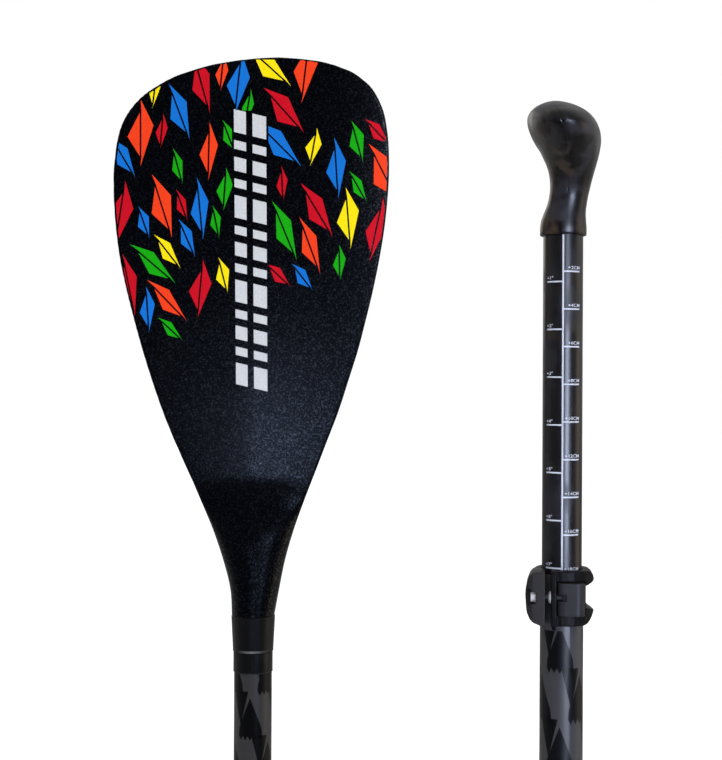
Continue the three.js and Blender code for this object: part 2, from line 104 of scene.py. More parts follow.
def eased(value):
    value = min(1.0, max(0.0, value))
    return value * value * (3 - 2 * value)


def mix(low, high, share):
    return low + (high - low) * share


# Camera

CAMERA_PLACE = (0.0655, -0.81, 0.6)
CAMERA_LENS = 62.48
CAMERA_SENSOR = 36
CAMERA_ROLL = math.radians(-0.26)


def make_camera():
    data = bpy.data.cameras.new("camera")
    data.lens = CAMERA_LENS
    data.sensor_width = CAMERA_SENSOR
    camera = bpy.data.objects.new("camera", data)
    camera.location = CAMERA_PLACE
    camera.rotation_euler = (math.pi / 2, CAMERA_ROLL, 0)
    bpy.context.scene.collection.objects.link(camera)
    bpy.context.scene.camera = camera


# Nodes of materials

def node(tree, kind, inputs=None, **settings):
    """New node; each of its inputs is a plain value or the output that is linked to it."""
    made = tree.nodes.new(kind)
    for key, value in settings.items():
        setattr(made, key, value)
    for key, value in (inputs or {}).items():
        if isinstance(value, bpy.types.NodeSocket):
            tree.links.new(value, made.inputs[key])
        else:
            made.inputs[key].default_value = value
    return made


def coordinates(tree, stretch=(1, 1, 1)):
    place = node(tree, "ShaderNodeTexCoord").outputs["Object"]
    return node(tree, "ShaderNodeMapping", {"Vector": place, "Scale": stretch}).outputs["Vector"]


def component(tree, vector, axis):
    return node(tree, "ShaderNodeSeparateXYZ", {0: vector}).outputs[axis]


def noise(tree, scale, detail=2.0, stretch=(1, 1, 1)):
    inputs = {"Vector": coordinates(tree, stretch), "Scale": scale, "Detail": detail}
    return node(tree, "ShaderNodeTexNoise", inputs).outputs["Fac"]


def cells(tree, scale):
    inputs = {"Vector": coordinates(tree), "Scale": scale}
    return node(tree, "ShaderNodeTexVoronoi", inputs).outputs["Distance"]


def calculated(tree, operation, *values):
    return node(tree, "ShaderNodeMath", dict(enumerate(values)), operation=operation).outputs[0]


def ranged(tree, value, low, high, from_low=0.0, from_high=1.0):
    return node(tree, "ShaderNodeMapRange", {
        "Value": value, "From Min": from_low, "From Max": from_high, "To Min": low, "To Max": high,
    }).outputs["Result"]


def past(tree, turn, blur):
    """0 before a place along X and 1 past it."""
    return ranged(tree, component(tree, coordinates(tree), "X"), 0, 1, turn - blur, turn + blur)


# The sockets of a Mix node share their names, so they go by number

def mixed(tree, share, first, second):
    """Colour between two colours, each a plain one or a node's."""
    inputs = {"Factor": share}
    for key, colour in ((6, first), (7, second)):
        inputs[key] = colour if isinstance(colour, bpy.types.NodeSocket) else (*colour, 1)
    return node(tree, "ShaderNodeMix", inputs, data_type="RGBA").outputs[2]


def mixed_number(tree, share, first, second):
    inputs = {0: share, 2: first, 3: second}
    return node(tree, "ShaderNodeMix", inputs, data_type="FLOAT").outputs[0]


def bumped(tree, height, strength, depth):
    inputs = {"Height": height, "Strength": strength, "Distance": depth}
    return node(tree, "ShaderNodeBump", inputs).outputs["Normal"]


# Materials. Textures lie on object coordinates, which are the frame's, and have scales per metre.

# Values of a noise between which its effect runs from none to full
NOISE_SPAN = (0.3, 0.7)
FLAKE_SPAN = (0.5, 0.64)
SPECKLE_SPAN = (0.35, 0.75)
COOL_SPAN = (0.47, 0.6)
WARM_SPAN = (0.56, 0.66)
# Strength and depth of the bumps
PEBBLE_BUMP = (0.35, 0.00012)
INK_BUMP = (0.5, 0.0001)
STEEL_BUMP = (0.3, 0.00004)
FOAM_BUMP = (0.6, 0.0003)
SATIN_BUMP = (0.35, 0.00004)
COLLAR_BUMP = (0.6, 0.0001)
LIP_BUMP = (0.3, 0.00005)
GRAIN_STRENGTH = 0.6
# Gloss between and on the flakes, as shares
FLAKE_GLOSS = (0.6, 2.0)
INK_WORN = 0.82
STEEL_WORN = 0.8
FOAM_SHADE = 0.8
FOAM_ROUGHNESS = (0.8, 0.95)
COLLAR_WEAR = 0.3
# Blur of the painted shade past one place along X, on the collar and on the screw
PAINTED_SHADE_BLUR = 0.0005
SCREW_SHADE_BLUR = 0.0002
STEEL_LINES = 900
LINE_STRETCH = (6, 1, 1)
WARM_SCALE = 1.3
WARM_STRETCH = (1, 1, 0.8)


def darker(colour, share):
    return tuple(channel * share for channel in colour)


def material(name, specular, metallic=0.0):
    """New material, its tree and its main shader, whose plain numbers sit on its own sockets."""
    made = bpy.data.materials.new(name)
    made.use_nodes = True
    shader = made.node_tree.nodes["Principled BSDF"]
    shader.inputs["Specular IOR Level"].default_value = specular
    shader.inputs["Metallic"].default_value = metallic
    return made, made.node_tree, shader


def surfaced(tree, shader, colour, roughness, normal):
    for key, value in (("Base Color", colour), ("Roughness", roughness), ("Normal", normal)):
        tree.links.new(value, shader.inputs[key])


def rough(tree, texture, roughness, less, more, span=(0.0, 1.0)):
    """Roughness that a texture makes less and more."""
    return ranged(tree, texture, roughness - less, roughness + more, *span)


def moulded(name, colour, lighter, roughness, specular, grain, grain_depth, patch):
    """Plastic with a fine grain, a slightly uneven colour and an uneven gloss."""
    made, tree, shader = material(name, specular)
    patches = noise(tree, patch, 3)
    surfaced(
        tree, shader, mixed(tree, patches, colour, lighter),
        rough(tree, patches, roughness, 0.06, 0.08, NOISE_SPAN),
        bumped(tree, noise(tree, grain), GRAIN_STRENGTH, grain_depth))
    return made


def pebbled(name, colour, glint, roughness, specular, pebble=1100, flake=800, grain=1500):
    """Pebbled black plastic whose small flakes catch the light."""
    made, tree, shader = material(name, specular)
    flakes = ranged(tree, noise(tree, flake, 1), 0, 1, *FLAKE_SPAN)
    gloss = ranged(tree, flakes, *(specular * share for share in FLAKE_GLOSS))
    tree.links.new(gloss, shader.inputs["Specular IOR Level"])
    surfaced(
        tree, shader, mixed(tree, flakes, colour, glint),
        rough(tree, noise(tree, grain, 3), roughness, 0.05, 0.07, NOISE_SPAN),
        bumped(tree, cells(tree, pebble), *PEBBLE_BUMP))
    return made


def inked(name, colour, roughness=0.45, specular=0.12, speckle=1400, grain=1100):
    """Print: a flat colour with a little speckle, over the grain of the surface."""
    made, tree, shader = material(name, specular)
    speckles = ranged(tree, noise(tree, speckle), 0, 1, *SPECKLE_SPAN)
    surfaced(
        tree, shader, mixed(tree, speckles, colour, darker(colour, INK_WORN)),
        rough(tree, speckles, roughness, 0, 0.15), bumped(tree, noise(tree, grain), *INK_BUMP))
    return made


def brushed(name, colour, roughness, metallic=0.6, dark=None, dark_from=0.0):
    """Turned steel with fine lines, which may be darkened past one place along X as painted shade."""
    made, tree, shader = material(name, 0.5, metallic)
    lines = noise(tree, STEEL_LINES, stretch=LINE_STRETCH)
    if dark:
        # Painted shade: dark past a place along X
        tone = mixed(tree, past(tree, dark_from, SCREW_SHADE_BLUR), colour, dark)
    else:
        tone = mixed(tree, lines, colour, darker(colour, STEEL_WORN))
    surfaced(
        tree, shader, tone, rough(tree, lines, roughness, 0.08, 0.1),
        bumped(tree, lines, *STEEL_BUMP))
    return made


def foamed(name, colour, bubble=900):
    """Closed-cell foam."""
    made, tree, shader = material(name, 0.3)
    bubbles = cells(tree, bubble)
    surfaced(
        tree, shader, mixed(tree, bubbles, darker(colour, FOAM_SHADE), colour),
        ranged(tree, bubbles, *FOAM_ROUGHNESS), bumped(tree, bubbles, *FOAM_BUMP))
    return made


def clouded(name, colour, cool, warm, roughness, specular, cloud, grain=700):
    """Satin plastic with faint cool and warm clouds: a random tone, partly painted reflection of lavender
    and warm light.
    """
    made, tree, shader = material(name, specular)
    clouds = ranged(tree, noise(tree, cloud, 3), 0, 1, *COOL_SPAN)
    warm_noise = noise(tree, cloud * WARM_SCALE, 3, WARM_STRETCH)
    warm_clouds = ranged(tree, warm_noise, 0, 1, *WARM_SPAN)
    surfaced(
        tree, shader, mixed(tree, warm_clouds, mixed(tree, clouds, colour, cool), warm),
        rough(tree, clouds, roughness, 0.04, 0.08), bumped(tree, noise(tree, grain), *SATIN_BUMP))
    return made


def painted_shade_split(name, first, second, turn, worn, roughness, specular, patch=80, grain=1100):
    """Moulded plastic, a little worn, with painted shade: far darker past one place along X."""
    made, tree, shader = material(name, specular)
    patches = noise(tree, patch, 3)
    # Painted shade: the dark colour past the turn stands for the shade on that side of the split
    tone = mixed(tree, past(tree, turn, PAINTED_SHADE_BLUR), first, second)
    surfaced(
        tree, shader, mixed(tree, ranged(tree, patches, 0, COLLAR_WEAR), tone, worn),
        rough(tree, patches, roughness, 0.06, 0.08, NOISE_SPAN),
        bumped(tree, noise(tree, grain), *COLLAR_BUMP))
    return made


def painted_highlight_lip(name, bright, dark, reach, roughness, speckle=500):
    """Lip with a painted highlight: bright within reach of the middle along X, dark beyond."""
    made, tree, shader = material(name, 0.5)
    away = calculated(tree, "ABSOLUTE", component(tree, coordinates(tree), "X"))
    speckles = noise(tree, speckle)
    surfaced(
        tree, shader, mixed(tree, ranged(tree, away, 0, 1, 0, reach), bright, dark),
        rough(tree, speckles, roughness, 0.05, 0.05), bumped(tree, speckles, *LIP_BUMP))
    return made


# Places along X past which the screw and the collar are darkened as painted shade
SCREW_SHADE_FROM = 0.16
COLLAR_SHADE_FROM = 0.163

BRIGHT_STEEL = (0.62, 0.62, 0.63)
DIM_STEEL = (0.03, 0.03, 0.03)

finishes = {
    "blade": pebbled("blade_shell", (0.0004, 0.0007, 0.0018), (0.0018, 0.0025, 0.005), 0.27, 0.3),
    "sleeve": moulded(
        "sleeve_film", (0.0025, 0.0026, 0.0035), (0.005, 0.0052, 0.0065), 0.36, 0.35,
        grain=500, grain_depth=0.00012, patch=90),
    "shaft": moulded(
        "shaft_light", (0.027, 0.027, 0.03), (0.036, 0.035, 0.039), 0.36, 0.5,
        grain=700, grain_depth=0.00002, patch=50),
    "facet": moulded(
        "shaft_dark", (0.0015, 0.0015, 0.002), (0.003, 0.003, 0.004), 0.34, 0.28,
        grain=700, grain_depth=0.00002, patch=50),
    # The tube's lavender and warm clouds are partly painted reflection
    "tube": clouded(
        "tube_charcoal", (0.0045, 0.0042, 0.005), (0.009, 0.009, 0.0115), (0.012, 0.009, 0.007),
        0.36, 0.55, cloud=50),
    "nylon": moulded(
        "nylon_charcoal", (0.012, 0.011, 0.012), (0.018, 0.0165, 0.018), 0.45, 0.16,
        grain=1100, grain_depth=0.0001, patch=80),
    "lever": moulded(
        "nylon_grey", (0.013, 0.012, 0.0135), (0.018, 0.017, 0.019), 0.42, 0.22,
        grain=1100, grain_depth=0.0001, patch=80),
    # The grip's lavender and warm clouds are partly painted reflection
    "grip": clouded(
        "grip_charcoal", (0.0014, 0.0013, 0.0018), (0.014, 0.013, 0.017), (0.028, 0.019, 0.013),
        0.38, 0.5, cloud=75),
    "steel": brushed("steel_plain", BRIGHT_STEEL, 0.3),
    "dark_steel": brushed("steel_dark", DIM_STEEL, 0.42),
    # Painted shade: the screw is dark past its place along X, where it runs through the split and into the
    # lever
    "screw_steel": brushed("steel_screw", BRIGHT_STEEL, 0.32, 0.5, DIM_STEEL, SCREW_SHADE_FROM),
    # The two lips paint a highlight: bright near the middle along X, dark towards the sides
    "edge": painted_highlight_lip("sleeve_lip", (0.12, 0.12, 0.13), (0.004, 0.004, 0.005), 0.009, 0.35),
    "faint_painted_highlight": painted_highlight_lip("band_lip", (0.02, 0.02, 0.022), (0.005, 0.005, 0.006), 0.01, 0.4),
    # Painted shade: the collar is far darker past the split along X, so its left ear stands lighter
    "collar": painted_shade_split(
        "nylon_collar", (0.02, 0.0185, 0.02), (0.0015, 0.0014, 0.0017), COLLAR_SHADE_FROM,
        (0.016, 0.015, 0.016), 0.42, 0.1),
    "foam": foamed("foam_pale", (0.75, 0.74, 0.7)),
    "rubber": moulded(
        "rubber_black", (0.008, 0.008, 0.008), (0.013, 0.013, 0.013), 0.65, 0.25,
        grain=800, grain_depth=0.0001, patch=70),
    "white": inked("ink_white", (0.58, 0.6, 0.64), 0.4),
    "scale": inked("ink_scale", (0.4, 0.42, 0.48), 0.4),
}
inks = {
    "blue": inked("ink_blue", (0.004, 0.16, 0.63)),
    "red": inked("ink_red", (0.56, 0.002, 0.014)),
    "orange": inked("ink_orange", (0.86, 0.05, 0.01)),
    "green": inked("ink_green", (0.006, 0.38, 0.003)),
    "yellow": inked("ink_yellow", (0.92, 0.74, 0.003)),
}


# Mesh making

SHARP_ANGLE = 35
BLADE_SHARP = 50
GRIP_SHARP = 40
ALL_SMOOTH = 180
SIDES = 96
FILLET = 0.3
FILLET_STEPS = 4
FILLET_SHARE = 0.45
UNCUT = 1000.0


def piece(name, points, faces, finish, body, stands_for=(), sharp=SHARP_ANGLE):
    """New mesh from points in metres, shaded smooth but for edges sharper than an angle in degrees."""
    mesh = bpy.data.meshes.new(name)
    mesh.from_pydata([tuple(point) for point in points], [], faces)
    return dressed(name, mesh, finish, body, stands_for, sharp)


def dressed(name, mesh, finish, body, stands_for=(), sharp=SHARP_ANGLE):
    mesh.polygons.foreach_set("use_smooth", [True] * len(mesh.polygons))
    mesh.set_sharp_from_angle(angle=math.radians(sharp))
    mesh.materials.clear()
    mesh.materials.append(finish)
    made = bpy.data.objects.new(name, mesh)
    bpy.context.scene.collection.objects.link(made)
    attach(made, body)
    if stands_for:
        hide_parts(*stands_for)
    return made


def filleted(profile, radius):
    """Closed [radius, height] profile with its corners rounded."""
    rounded = []
    for i, corner in enumerate(profile):
        corner = Vector(corner)
        ends = []
        for other in (profile[i - 1], profile[(i + 1) % len(profile)]):
            side = Vector(other) - corner
            ends.append(corner + side.normalized() * min(radius, side.length * FILLET_SHARE))
        for step in range(FILLET_STEPS + 1):
            t = step / FILLET_STEPS
            rounded.append(ends[0] * (1 - t) ** 2 + corner * 2 * t * (1 - t) + ends[1] * t ** 2)
    return rounded


def turned(name, profile, place, finish, body, stands_for=(), sides=SIDES, fillet=FILLET):
    """Ring or tube turned about an upright axis from a closed profile, counterclockwise."""
    outline = filleted(profile, fillet)
    points = []
    for side in range(sides):
        angle = 2 * math.pi * side / sides
        for radius, height in outline:
            points.append(place(radius * math.cos(angle), radius * math.sin(angle), height))
    count = len(outline)
    faces = []
    for side in range(sides):
        here, there = side * count, (side + 1) % sides * count
        for i in range(count):
            j = (i + 1) % count
            faces.append((here + i, there + i, there + j, here + j))
    return piece(name, points, faces, finish, body, stands_for)


def ring_profile(inner, outer, low, high):
    return [(inner, low), (outer, low), (outer, high), (inner, high)]


def tube_profile(name):
    low, high = box_mm(name)
    return ring_profile(*radii(name), low.z, high.z)


def clipped(polygon, axis, low, high):
    """Part of a convex polygon that lies between two values of one coordinate."""
    for value, sign in ((low, 1), (high, -1)):
        kept = []
        for i, point in enumerate(polygon):
            before = polygon[i - 1]
            inside = sign * (point[axis] - value) >= 0
            if inside != (sign * (before[axis] - value) >= 0):
                share = (value - before[axis]) / (point[axis] - before[axis])
                kept.append(tuple(b + (p - b) * share for p, b in zip(point, before)))
            if inside:
                kept.append(point)
        polygon = kept
    return polygon


def counterclockwise(corners, least):
    """List of the one triangle, counterclockwise; an empty list if twice its area is no more than least."""
    a, b, c = corners
    area = (b[0] - a[0]) * (c[1] - a[1]) - (b[1] - a[1]) * (c[0] - a[0])
    if abs(area) <= least:
        return []
    return [(a, b, c) if area > 0 else (a, c, b)]


def triangles_of(outline):
    corners = [Vector((u, v, 0)) for u, v in outline]
    triangles = []
    for indices in geometry.tessellate_polygon([corners]):
        triangles += counterclockwise([tuple(corners[i][:2]) for i in indices], 1e-9)
    return triangles


def rectangle(left, right, low, high):
    return triangles_of([(left, low), (right, low), (right, high), (left, high)])


def printed(name, convex_pieces, place, finish, body, step):
    """Thin print laid on a surface: flat pieces cut into cells and carried over by place(u, v)."""
    known = {}
    points = []
    faces = []
    for polygon in convex_pieces:
        lows = [math.floor(min(p[axis] for p in polygon) / step[axis]) for axis in (0, 1)]
        highs = [math.ceil(max(p[axis] for p in polygon) / step[axis]) for axis in (0, 1)]
        for column in range(lows[0], highs[0]):
            stripe = clipped(list(polygon), 0, column * step[0], (column + 1) * step[0])
            if len(stripe) < 3:
                continue
            for row in range(lows[1], highs[1]):
                face = []
                for u, v in clipped(stripe, 1, row * step[1], (row + 1) * step[1]):
                    key = (round(u, 4), round(v, 4))
                    if key not in known:
                        known[key] = len(points)
                        points.append(place(u, v))
                    if known[key] not in face:
                        face.append(known[key])
                if len(face) > 2:
                    faces.append(face)
    return piece(name, points, faces, finish, body, sharp=ALL_SMOOTH)


def spline(rows, steps):
    """Smooth curve through rows of numbers, by centripetal Catmull-Rom, with steps points in each span."""
    rows = [np.array(row, float) for row in rows]
    rows = [2 * rows[0] - rows[1], *rows, 2 * rows[-1] - rows[-2]]
    curve = []
    for i in range(1, len(rows) - 2):
        p = rows[i - 1:i + 3]
        t = [0.0]
        for a, b in zip(p, p[1:]):
            t.append(t[-1] + max(1e-6, np.linalg.norm(b - a)) ** 0.5)
        for step in range(steps):
            s = t[1] + (t[2] - t[1]) * step / steps
            a = [(p[k] * (t[k + 1] - s) + p[k + 1] * (s - t[k])) / (t[k + 1] - t[k]) for k in range(3)]
            b = [(a[k] * (t[k + 2] - s) + a[k + 1] * (s - t[k])) / (t[k + 2] - t[k]) for k in range(2)]
            curve.append((b[0] * (t[2] - s) + b[1] * (s - t[1])) / (t[2] - t[1]))
    curve.append(rows[-2])
    return np.array(curve)


def apply_modifiers(made):
    bpy.context.view_layer.update()
    graph = bpy.context.evaluated_depsgraph_get()
    fresh = bpy.data.meshes.new_from_object(made.evaluated_get(graph), depsgraph=graph)
    made.modifiers.clear()
    old = made.data
    made.data = fresh
    bpy.data.meshes.remove(old)


def smoothed(name, source, finish, body, bevel):
    """Copy of a CAD node with its flat parts joined, its edges rounded and its curved sides smooth."""
    mesh = nodes[source].data.copy()
    bm = bmesh.new()
    bm.from_mesh(mesh)
    bmesh.ops.remove_doubles(bm, verts=bm.verts, dist=1e-6)
    bmesh.ops.dissolve_limit(bm, angle_limit=math.radians(1), verts=bm.verts, edges=bm.edges)
    bm.to_mesh(mesh)
    bm.free()
    made = dressed(name, mesh, finish, body, (source,))
    rounding = made.modifiers.new("rounding", "BEVEL")
    rounding.width = bevel * MM
    rounding.segments = 3
    rounding.limit_method = "ANGLE"
    rounding.angle_limit = math.radians(SHARP_ANGLE)
    apply_modifiers(made)


def softened(name, source, finish, body, voxel, rounds):
    """Copy of a CAD node with all its edges rounded as a moulding's are."""
    mesh = nodes[source].data.copy()
    made = dressed(name, mesh, finish, body, (source,), ALL_SMOOTH)
    grid = made.modifiers.new("grid", "REMESH")
    grid.mode = "VOXEL"
    grid.voxel_size = voxel * MM
    grid.use_smooth_shade = True
    ease = made.modifiers.new("ease", "SMOOTH")
    ease.factor = 0.5
    ease.iterations = rounds
    apply_modifiers(made)
    made.data.materials.clear()
    made.data.materials.append(finish)


# Blade: its outline by height, and a round neck that fades into two nearly flat halves with a low
# ridge between them, a forward lean and a slight camber

BLADE_HALF_WIDTH = 82.5
BLADE_THICKNESS = 4.6
BLADE_RIM = 2.6
NECK_RADIUS = 13
NECK_RIM = 1.6
SPINE_START = 45
SPINE_LENGTH = 40
BLADE_RAKE = math.radians(7.5)
RAKE_EASE = 42
BLADE_CAMBER = 4
CAMBER_POWER = 1.5
ROUND_POWERS = (2, 0.5)
RIDGE_POWERS = (1.3, 1)
BLADE_ROWS = 200
BLADE_COLUMNS = 64
OUTLINE_STEPS = 12
BELOW_APEX = 0.99999
APEX = (1, 0.19)
# Height, left edge and right edge, as shares of the length and of the half width
BLADE_SHARES = [
    (0, -0.158, 0.158), (0.045, -0.169, 0.191), (0.1, -0.224, 0.235), (0.156, -0.302, 0.299),
    (0.211, -0.395, 0.377), (0.266, -0.491, 0.462), (0.321, -0.587, 0.546), (0.376, -0.673, 0.63),
    (0.432, -0.748, 0.702), (0.485, -0.812, 0.769), (0.54, -0.871, 0.826), (0.593, -0.922, 0.877),
    (0.647, -0.965, 0.921), (0.7, -0.991, 0.956), (0.753, -1.003, 0.979), (0.805, -1, 0.99),
    (0.857, -0.97, 0.984), (0.883, -0.939, 0.971), (0.909, -0.879, 0.949), (0.935, -0.778, 0.903),
    (0.953, -0.666, 0.853), (0.967, -0.554, 0.786), (0.977, -0.434, 0.724), (0.985, -0.324, 0.642),
    (0.991, -0.201, 0.564), (0.996, -0.051, 0.451),
]

blade_low, blade_high = box_mm("blade")
blade_foot = blade_low.z
blade_length = blade_high.z - blade_low.z
left_side = [(h * blade_length, left * BLADE_HALF_WIDTH) for h, left, right in BLADE_SHARES]
right_side = [(h * blade_length, right * BLADE_HALF_WIDTH) for h, left, right in BLADE_SHARES]
apex = (APEX[0] * blade_length, APEX[1] * BLADE_HALF_WIDTH)
blade_outline = spline([*left_side, apex, *reversed(right_side)], OUTLINE_STEPS)
half_count = len(left_side) * OUTLINE_STEPS
left_edge, right_edge = blade_outline[:half_count + 1], blade_outline[half_count:][::-1]


def rake_at(height):
    run = max(0.0, height - SPINE_START)
    slope = math.tan(BLADE_RAKE)
    return slope * run * run / (2 * RAKE_EASE) if run < RAKE_EASE else slope * (run - RAKE_EASE / 2)


def edges_at(height):
    return (float(np.interp(height, left_edge[:, 0], left_edge[:, 1])),
            float(np.interp(height, right_edge[:, 0], right_edge[:, 1])))


def edge_distance(heights, xs):
    """Distance of points from the blade's outline."""
    place = np.stack([heights, xs], 1)
    return np.min(np.linalg.norm(place[:, None] - blade_outline[None], axis=2), axis=1)


def blade_sides(x, height, to_edge):
    """Depth of the middle surface and half the thickness there."""
    left, right = edges_at(height)
    centre, half = (left + right) / 2, max(1e-3, (right - left) / 2)
    fade = eased((height - SPINE_START) / SPINE_LENGTH)
    rim = mix(NECK_RIM, BLADE_RIM, fade) / 2
    crest = mix(NECK_RADIUS, BLADE_THICKNESS / 2, fade)
    off = min(1.0, abs(x - centre) / half)
    side_power, crest_power = (mix(a, b, fade) for a, b in zip(ROUND_POWERS, RIDGE_POWERS))
    rise = rim + (crest - rim) * (1 - off ** side_power) ** crest_power
    round_over = min(1.0, to_edge / BLADE_RIM * 2)
    rise *= math.sqrt(max(0.0, 1 - (1 - round_over) ** 2)) if fade > 0 else 1
    camber = BLADE_CAMBER * fade * abs(x / BLADE_HALF_WIDTH) ** CAMBER_POWER
    return camber - rake_at(height), rise


def make_blade():
    heights, xs = [], []
    for row in range(BLADE_ROWS + 1):
        height = blade_length * (1 - (1 - row / BLADE_ROWS) ** 2)
        left, right = edges_at(min(height, blade_length * BELOW_APEX))
        for i in range(BLADE_COLUMNS + 1):
            share = -math.cos(math.pi * i / BLADE_COLUMNS)
            heights.append(height)
            xs.append((left + right) / 2 + (right - left) / 2 * share)
    distances = edge_distance(np.array(heights), np.array(xs))
    points = []
    for side in (-1, 1):
        for x, height, distance in zip(xs, heights, distances):
            middle, rise = blade_sides(x, min(height, blade_length * BELOW_APEX), distance)
            points.append(at_blade(x, middle + side * rise, blade_foot + height))
    faces = []
    width = BLADE_COLUMNS + 1
    behind = len(xs)
    for row in range(BLADE_ROWS):
        for i in range(BLADE_COLUMNS):
            a, b = row * width + i, (row + 1) * width + i
            faces.append((a, a + 1, b + 1, b))
            faces.append((behind + a + 1, behind + a, behind + b, behind + b + 1))
        for i, flip in ((0, True), (BLADE_COLUMNS, False)):
            a, b = row * width + i, (row + 1) * width + i
            face = (a, behind + a, behind + b, b)
            faces.append(face[::-1] if flip else face)
    faces.append([*reversed(range(width)), *range(behind, behind + width)])
    piece(
        "blade_skin", points, faces, finishes["blade"], "blade_section", ("blade",),
        BLADE_SHARP)


# Prints on the blade: shards, which are long kites split by a thin dark line and scattered over the
# upper face, and a white broken stripe up its middle

INK_LIFT = 0.06
INK_STEP = (2.5, 4.0)
SHARD_SEED = 5
SHARD_TRIES = 9000
BIG_TRIES = 400
SHARD_SPAN = 84
SHARD_HEIGHTS = (165, 332)
BIG_LENGTHS = (17, 20)
SMALL_LENGTHS = (9.5, 14)
SHARD_BREADTHS = (0.3, 0.42)
SHARD_LEANS = (-50, 14)
SHARD_ROOM = 2.3
COLOUR_ROOM = 34
SHARD_SLIT = 0.5
SHARD_MARGIN = 1.3
MARGIN_ABOVE = 0.6
SHARD_STRIP = 0.5
NEAR_APEX = 0.98
LOW_SIDE = (184, 30)
BARE_CORNER = (34, 292)
COLOUR_TURNS = ("blue", "orange", "red", "yellow", "blue", "orange", "red", "green")
# Corners of a shard's two halves, as shares of its length, its breadth and the slit
WIDE_HALF = ((1, 0, 0), (0.66, 0, 1), (-0.76, 0, 1), (-1, 0, 0), (0.22, 1, 0))
NARROW_HALF = ((0.6, 0, -1), (-0.12, -1, 0), (-0.7, 0, -1))
STRIPE_HALF = 9.5
STRIPE_MIDDLE = -0.6
STRIPE_FOOT, STRIPE_TOP = 139.0, 301.0
STRIPE_CLEAR = 1.3
STRIPE_BLOCKS = [13, 5, 8, 5, 13, 5, 8, 5, 13, 5, 8, 5, 13]
STRIPE_GAP = 4.6
STRIPE_SLANT = 4.4
STRIPE_SLIT = (-2.4, 1.4)


def on_blade(x, height):
    distance = float(edge_distance(np.array([height]), np.array([x]))[0])
    middle, rise = blade_sides(x, height, distance)
    return at_blade(x, middle - rise - INK_LIFT, blade_foot + height)


def printed_on_blade(colour, shapes, ink):
    printed("print_" + colour, shapes, on_blade, ink, "blade_section", INK_STEP)


def shard_halves(x, height, length, breadth, lean):
    along = (math.sin(lean), math.cos(lean))
    halves = []
    for corners in (WIDE_HALF, NARROW_HALF):
        half = []
        for far_share, breadth_share, slit_share in corners:
            far = far_share * length
            out = breadth_share * breadth + slit_share * SHARD_SLIT
            half.append((x + along[0] * far + along[1] * out, height + along[1] * far - along[0] * out))
        halves.append(half)
    return halves


def beside_stripe(polygon):
    """The polygon without what would lie under the stripe."""
    edge = STRIPE_HALF + STRIPE_CLEAR
    over = clipped(polygon, 1, STRIPE_TOP + STRIPE_CLEAR, blade_length)
    rest = clipped(polygon, 1, 0, STRIPE_TOP + STRIPE_CLEAR)
    left = clipped(rest, 0, -SHARD_SPAN, STRIPE_MIDDLE - edge)
    right = clipped(rest, 0, STRIPE_MIDDLE + edge, SHARD_SPAN)
    return [part for part in (over, left, right) if len(part) > 2]


def apart(first, second, room):
    """Whether two convex polygons keep a distance."""
    for polygon, other in ((first, second), (second, first)):
        for i, (x, y) in enumerate(polygon):
            along = Vector((x - polygon[i - 1][0], y - polygon[i - 1][1])).normalized()
            spans = [[along.y * u - along.x * v for u, v in shape] for shape in (polygon, other)]
            if min(spans[1]) - max(spans[0]) > room or min(spans[0]) - max(spans[1]) > room:
                return True
    return False


def within_outline(polygon):
    """The polygon cut into low strips, each ending inside the blade's edge."""
    strips = []
    low = math.floor(min(v for u, v in polygon) / SHARD_STRIP)
    high = math.ceil(max(v for u, v in polygon) / SHARD_STRIP)
    for row in range(low, high):
        middle = (row + 0.5) * SHARD_STRIP
        if not 0 < middle < blade_length - SHARD_MARGIN:
            continue
        left, right = edges_at(middle + SHARD_MARGIN * MARGIN_ABOVE)
        strip = clipped(polygon, 1, row * SHARD_STRIP, (row + 1) * SHARD_STRIP)
        strip = clipped(strip, 0, left + SHARD_MARGIN, right - SHARD_MARGIN)
        if len(strip) > 2:
            strips.append(strip)
    return strips


def make_shards():
    chance = random.Random(SHARD_SEED)
    placed = []
    parts = {colour: [] for colour in inks}
    for attempt in range(SHARD_TRIES):
        length = chance.uniform(*(BIG_LENGTHS if attempt < BIG_TRIES else SMALL_LENGTHS))
        x = chance.uniform(-SHARD_SPAN, SHARD_SPAN)
        height = chance.uniform(*SHARD_HEIGHTS)
        lean = math.radians(chance.uniform(*SHARD_LEANS))
        breadth = length * chance.uniform(*SHARD_BREADTHS)
        left, right = edges_at(min(height, blade_length * NEAR_APEX))
        lowest = LOW_SIDE[0] + LOW_SIDE[1] * x / BLADE_HALF_WIDTH + length * math.cos(lean)
        in_corner = x > BARE_CORNER[0] and height > BARE_CORNER[1]
        if not left < x < right or height < lowest or in_corner:
            continue
        wide, narrow = shard_halves(x, height, length, breadth, lean)
        hull = [wide[0], wide[4], wide[3], narrow[1]]
        if not all(apart(hull, other, SHARD_ROOM) for other, _, _ in placed):
            continue
        near = {colour for _, spot, colour in placed if math.dist(spot, (x, height)) < COLOUR_ROOM}
        fresh = [colour for colour in COLOUR_TURNS if colour not in near] or COLOUR_TURNS
        colour = chance.choice(fresh)
        placed.append((hull, (x, height), colour))
        for triangle in [*triangles_of(wide), *triangles_of(narrow)]:
            for part in beside_stripe(list(triangle)):
                parts[colour].extend(within_outline(part))
    for colour, strips in parts.items():
        printed_on_blade(colour, strips, inks[colour])


